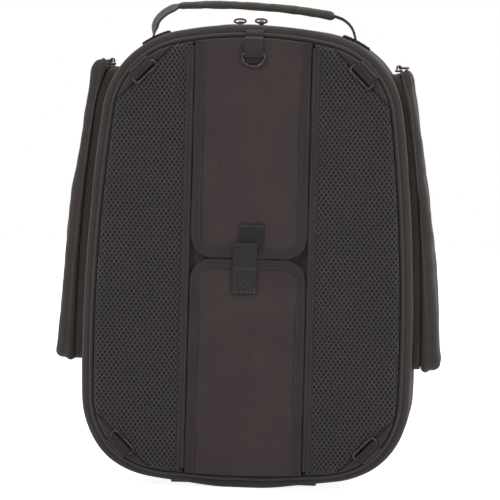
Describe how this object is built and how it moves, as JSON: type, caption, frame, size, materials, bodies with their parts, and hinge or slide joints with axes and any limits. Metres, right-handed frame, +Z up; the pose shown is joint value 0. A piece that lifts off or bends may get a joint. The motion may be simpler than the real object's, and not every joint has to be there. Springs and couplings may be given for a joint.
{
  "type": "flight bag",
  "caption": "Backpack-style flight bag with padded mesh back, stowable-harness flaps, side pockets, carry handle and a fold-down zipped front.",
  "frame": {"origin": "centre of the base, on the floor", "axes": "+Z up the bag, +Y towards its front, +X to the right of someone who faces the harness side"},
  "size_m": [0.3958, 0.2335, 0.4986],
  "materials": {
    "body_fabric": "matt woven nylon",
    "spacer_mesh": "open knitted mesh",
    "flap_fabric": "matt woven nylon",
    "corner_fabric": "matt woven nylon",
    "binding_tape": "ribbed tape",
    "piping_cord": "fabric-covered cord",
    "webbing": "ribbed webbing",
    "hook_tape": "hook-and-loop pile",
    "grip_fabric": "matt woven nylon",
    "zip_tape": "knitted tape with coil",
    "zip_metal": "gunmetal",
    "ring_metal": "dark coated steel",
    "stiffener": "plastic sheet"
  },
  "bodies": {
    "bag": {"apron_piping": "piping_cord", "back_panel": "body_fabric", "back_piping": "piping_cord", "base_board": "stiffener", "d_ring_tab": "webbing", "frame_sheet": "stiffener", "front_apron": "body_fabric", "left_handle_anchor": "webbing", "left_mesh_pad": "spacer_mesh", "left_pad_binding": "binding_tape", "left_pocket_frame": "body_fabric", "lower_flap_hem": "flap_fabric", "lower_left_corner_loop": "webbing", "lower_left_corner_patch": "corner_fabric", "lower_right_corner_loop": "webbing", "lower_right_corner_patch": "corner_fabric", "main_gusset": "body_fabric", "rear_zip_tape": "zip_tape", "right_handle_anchor": "webbing", "right_mesh_pad": "spacer_mesh", "right_pad_binding": "binding_tape", "right_pocket_frame": "body_fabric", "upper_flap_header": "flap_fabric", "upper_left_corner_loop": "webbing", "upper_left_corner_patch": "corner_fabric", "upper_right_corner_loop": "webbing", "upper_right_corner_patch": "corner_fabric"},
    "lid": {"lid_shell": "body_fabric", "lid_zip_tape": "zip_tape", "lid_piping": "piping_cord", "front_pocket_frame": "body_fabric"},
    "upper_flap": {"upper_flap": "flap_fabric", "upper_flap_binding": "binding_tape", "fastener_patch": "hook_tape"},
    "lower_flap": {"lower_flap": "flap_fabric", "lower_flap_binding": "binding_tape", "closure_strap": "webbing"},
    "handle": {"handle_webbing": "webbing", "handle_grip": "grip_fabric"},
    "d_ring": {"d_ring": "ring_metal"},
    "upper_left_corner_ring": {"upper_left_corner_ring": "ring_metal"},
    "lower_left_corner_ring": {"lower_left_corner_ring": "ring_metal"},
    "left_pocket_door": {"left_pocket_door": "body_fabric"},
    "left_pocket_slider": {"left_pocket_slider": "zip_metal"},
    "left_pocket_pull": {"left_pocket_pull": "zip_metal"},
    "upper_right_corner_ring": {"upper_right_corner_ring": "ring_metal"},
    "lower_right_corner_ring": {"lower_right_corner_ring": "ring_metal"},
    "right_pocket_door": {"right_pocket_door": "body_fabric"},
    "right_pocket_slider": {"right_pocket_slider": "zip_metal"},
    "right_pocket_pull": {"right_pocket_pull": "zip_metal"},
    "main_zip_left_slider": {"main_zip_left_slider": "zip_metal"},
    "main_zip_left_pull": {"main_zip_left_pull": "zip_metal"},
    "main_zip_right_slider": {"main_zip_right_slider": "zip_metal"},
    "main_zip_right_pull": {"main_zip_right_pull": "zip_metal"},
    "front_pocket_door": {"front_pocket_door": "body_fabric"},
    "front_pocket_slider": {"front_pocket_slider": "zip_metal"},
    "front_pocket_pull": {"front_pocket_pull": "zip_metal"}
  },
  "joints": [
    {"name": "lid_fold", "type": "hinge", "parent": "bag", "child": "lid", "pos_m": [0, 0.095, 0.075], "axis": [-1, 0, 0], "range_deg": [0, 95]},
    {"name": "lower_flap_hinge", "type": "hinge", "parent": "bag", "child": "lower_flap", "pos_m": [0, -0.107, 0.022], "axis": [1, 0, 0], "range_deg": [0, 90]},
    {"name": "upper_flap_hinge", "type": "hinge", "parent": "bag", "child": "upper_flap", "pos_m": [0, -0.107, 0.426], "axis": [-1, 0, 0], "range_deg": [0, 90]},
    {"name": "handle_swing", "type": "hinge", "parent": "bag", "child": "handle", "pos_m": [0, -0.05, 0.47936], "axis": [1, 0, 0], "range_deg": [-22, 22]},
    {"name": "d_ring_swing", "type": "hinge", "parent": "bag", "child": "d_ring", "pos_m": [0, -0.11054, 0.448], "axis": [-1, 0, 0], "range_deg": [0, 120]},
    {"name": "upper_left_corner_ring_swing", "type": "hinge", "parent": "bag", "child": "upper_left_corner_ring", "pos_m": [-0.1138, -0.1086, 0.4294], "axis": [-0.7071, 0, -0.7071], "range_deg": [0, 150]},
    {"name": "lower_left_corner_ring_swing", "type": "hinge", "parent": "bag", "child": "lower_left_corner_ring", "pos_m": [-0.12727, -0.1086, 0.04239], "axis": [0.7071, 0, -0.7071], "range_deg": [0, 150]},
    {"name": "left_pocket_door_hinge", "type": "hinge", "parent": "bag", "child": "left_pocket_door", "pos_m": [-0.17861, 0, 0.132], "axis": [0, -1, 0], "range_deg": [0, 60]},
    {"name": "left_pocket_slider_travel", "type": "slide", "parent": "bag", "child": "left_pocket_slider", "axis": [0, 1, 0], "range_m": [0, 0.078]},
    {"name": "left_pocket_pull_swing", "type": "hinge", "parent": "left_pocket_slider", "child": "left_pocket_pull", "pos_m": [-0.14878, -0.057, 0.43743], "axis": [0, 1, 0], "range_deg": [0, 120]},
    {"name": "upper_right_corner_ring_swing", "type": "hinge", "parent": "bag", "child": "upper_right_corner_ring", "pos_m": [0.1138, -0.1086, 0.4294], "axis": [-0.7071, 0, 0.7071], "range_deg": [0, 150]},
    {"name": "lower_right_corner_ring_swing", "type": "hinge", "parent": "bag", "child": "lower_right_corner_ring", "pos_m": [0.12727, -0.1086, 0.04239], "axis": [0.7071, 0, 0.7071], "range_deg": [0, 150]},
    {"name": "right_pocket_door_hinge", "type": "hinge", "parent": "bag", "child": "right_pocket_door", "pos_m": [0.17861, 0, 0.132], "axis": [0, 1, 0], "range_deg": [0, 60]},
    {"name": "right_pocket_slider_travel", "type": "slide", "parent": "bag", "child": "right_pocket_slider", "axis": [0, 1, 0], "range_m": [0, 0.078]},
    {"name": "right_pocket_pull_swing", "type": "hinge", "parent": "right_pocket_slider", "child": "right_pocket_pull", "pos_m": [0.14878, -0.057, 0.43743], "axis": [0, -1, 0], "range_deg": [0, 120]},
    {"name": "main_zip_left_slider_travel", "type": "hinge", "parent": "bag", "child": "main_zip_left_slider", "pos_m": [0, 0.05, 0.078], "axis": [0, 1, 0], "range_deg": [-7.3, 0]},
    {"name": "main_zip_left_pull_swing", "type": "hinge", "parent": "main_zip_left_slider", "child": "main_zip_left_pull", "pos_m": [-0.02217, 0.05, 0.48062], "axis": [-0.9985, 0, -0.055], "range_deg": [-20, 120]},
    {"name": "main_zip_right_slider_travel", "type": "hinge", "parent": "bag", "child": "main_zip_right_slider", "pos_m": [0, 0.05, 0.078], "axis": [0, 1, 0], "range_deg": [0, 10.5]},
    {"name": "main_zip_right_pull_swing", "type": "hinge", "parent": "main_zip_right_slider", "child": "main_zip_right_pull", "pos_m": [0, 0.05, 0.48123], "axis": [-1, 0, 0], "range_deg": [-20, 120]},
    {"name": "front_pocket_door_hinge", "type": "hinge", "parent": "lid", "child": "front_pocket_door", "pos_m": [0, 0.1052, 0.1], "axis": [-1, 0, 0], "range_deg": [0, 80]},
    {"name": "front_pocket_slider_travel", "type": "slide", "parent": "lid", "child": "front_pocket_slider", "axis": [1, 0, 0], "range_m": [-0.15, 0]},
    {"name": "front_pocket_pull_swing", "type": "hinge", "parent": "front_pocket_slider", "child": "front_pocket_pull", "pos_m": [0.07, 0.105, 0.32383], "axis": [1, 0, 0], "range_deg": [0, 120]}
  ],
  "couplings": [
    {"joint": "upper_flap_hinge", "follows": "lower_flap_hinge", "ratio": 1}
  ]
}
